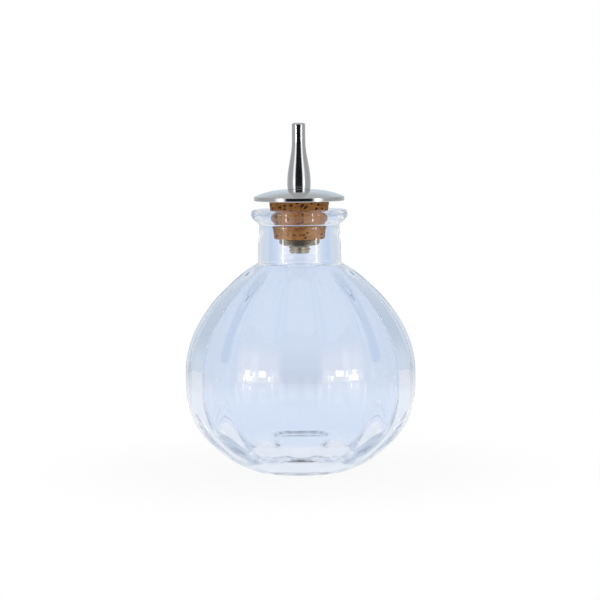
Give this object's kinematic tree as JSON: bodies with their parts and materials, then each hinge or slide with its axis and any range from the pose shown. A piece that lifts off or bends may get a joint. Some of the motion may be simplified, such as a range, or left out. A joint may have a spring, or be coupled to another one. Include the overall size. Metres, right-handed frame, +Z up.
{
  "type": "bitters bottle",
  "caption": "Ribbed clear glass globe bottle with a short neck, closed by a tapered cork stopper that carries a domed metal disc and a slim pouring spout for dashing bitters.",
  "frame": {"origin": "centre of the ring that the bottle stands on, on the table's surface", "axes": "+Z up along the bottle's axis, through the neck and the spout; the middle of a lobe faces -Y"},
  "size_m": [0.072, 0.072, 0.1084],
  "materials": {
    "clear_glass": "clear, fire-polished",
    "natural_cork": "natural cork, sanded, with dark pores",
    "polished_steel": "polished stainless steel"
  },
  "bodies": {
    "glass": {"bottle": "clear_glass"},
    "stopper": {"cork": "natural_cork", "stem": "polished_steel", "hex_nut": "polished_steel", "disc": "polished_steel", "spout": "polished_steel"}
  },
  "joints": [
    {"name": "stopper_lift", "type": "slide", "parent": "glass", "child": "stopper", "axis": [0, 0, 1], "range_m": [0, 0.02]}
  ]
}
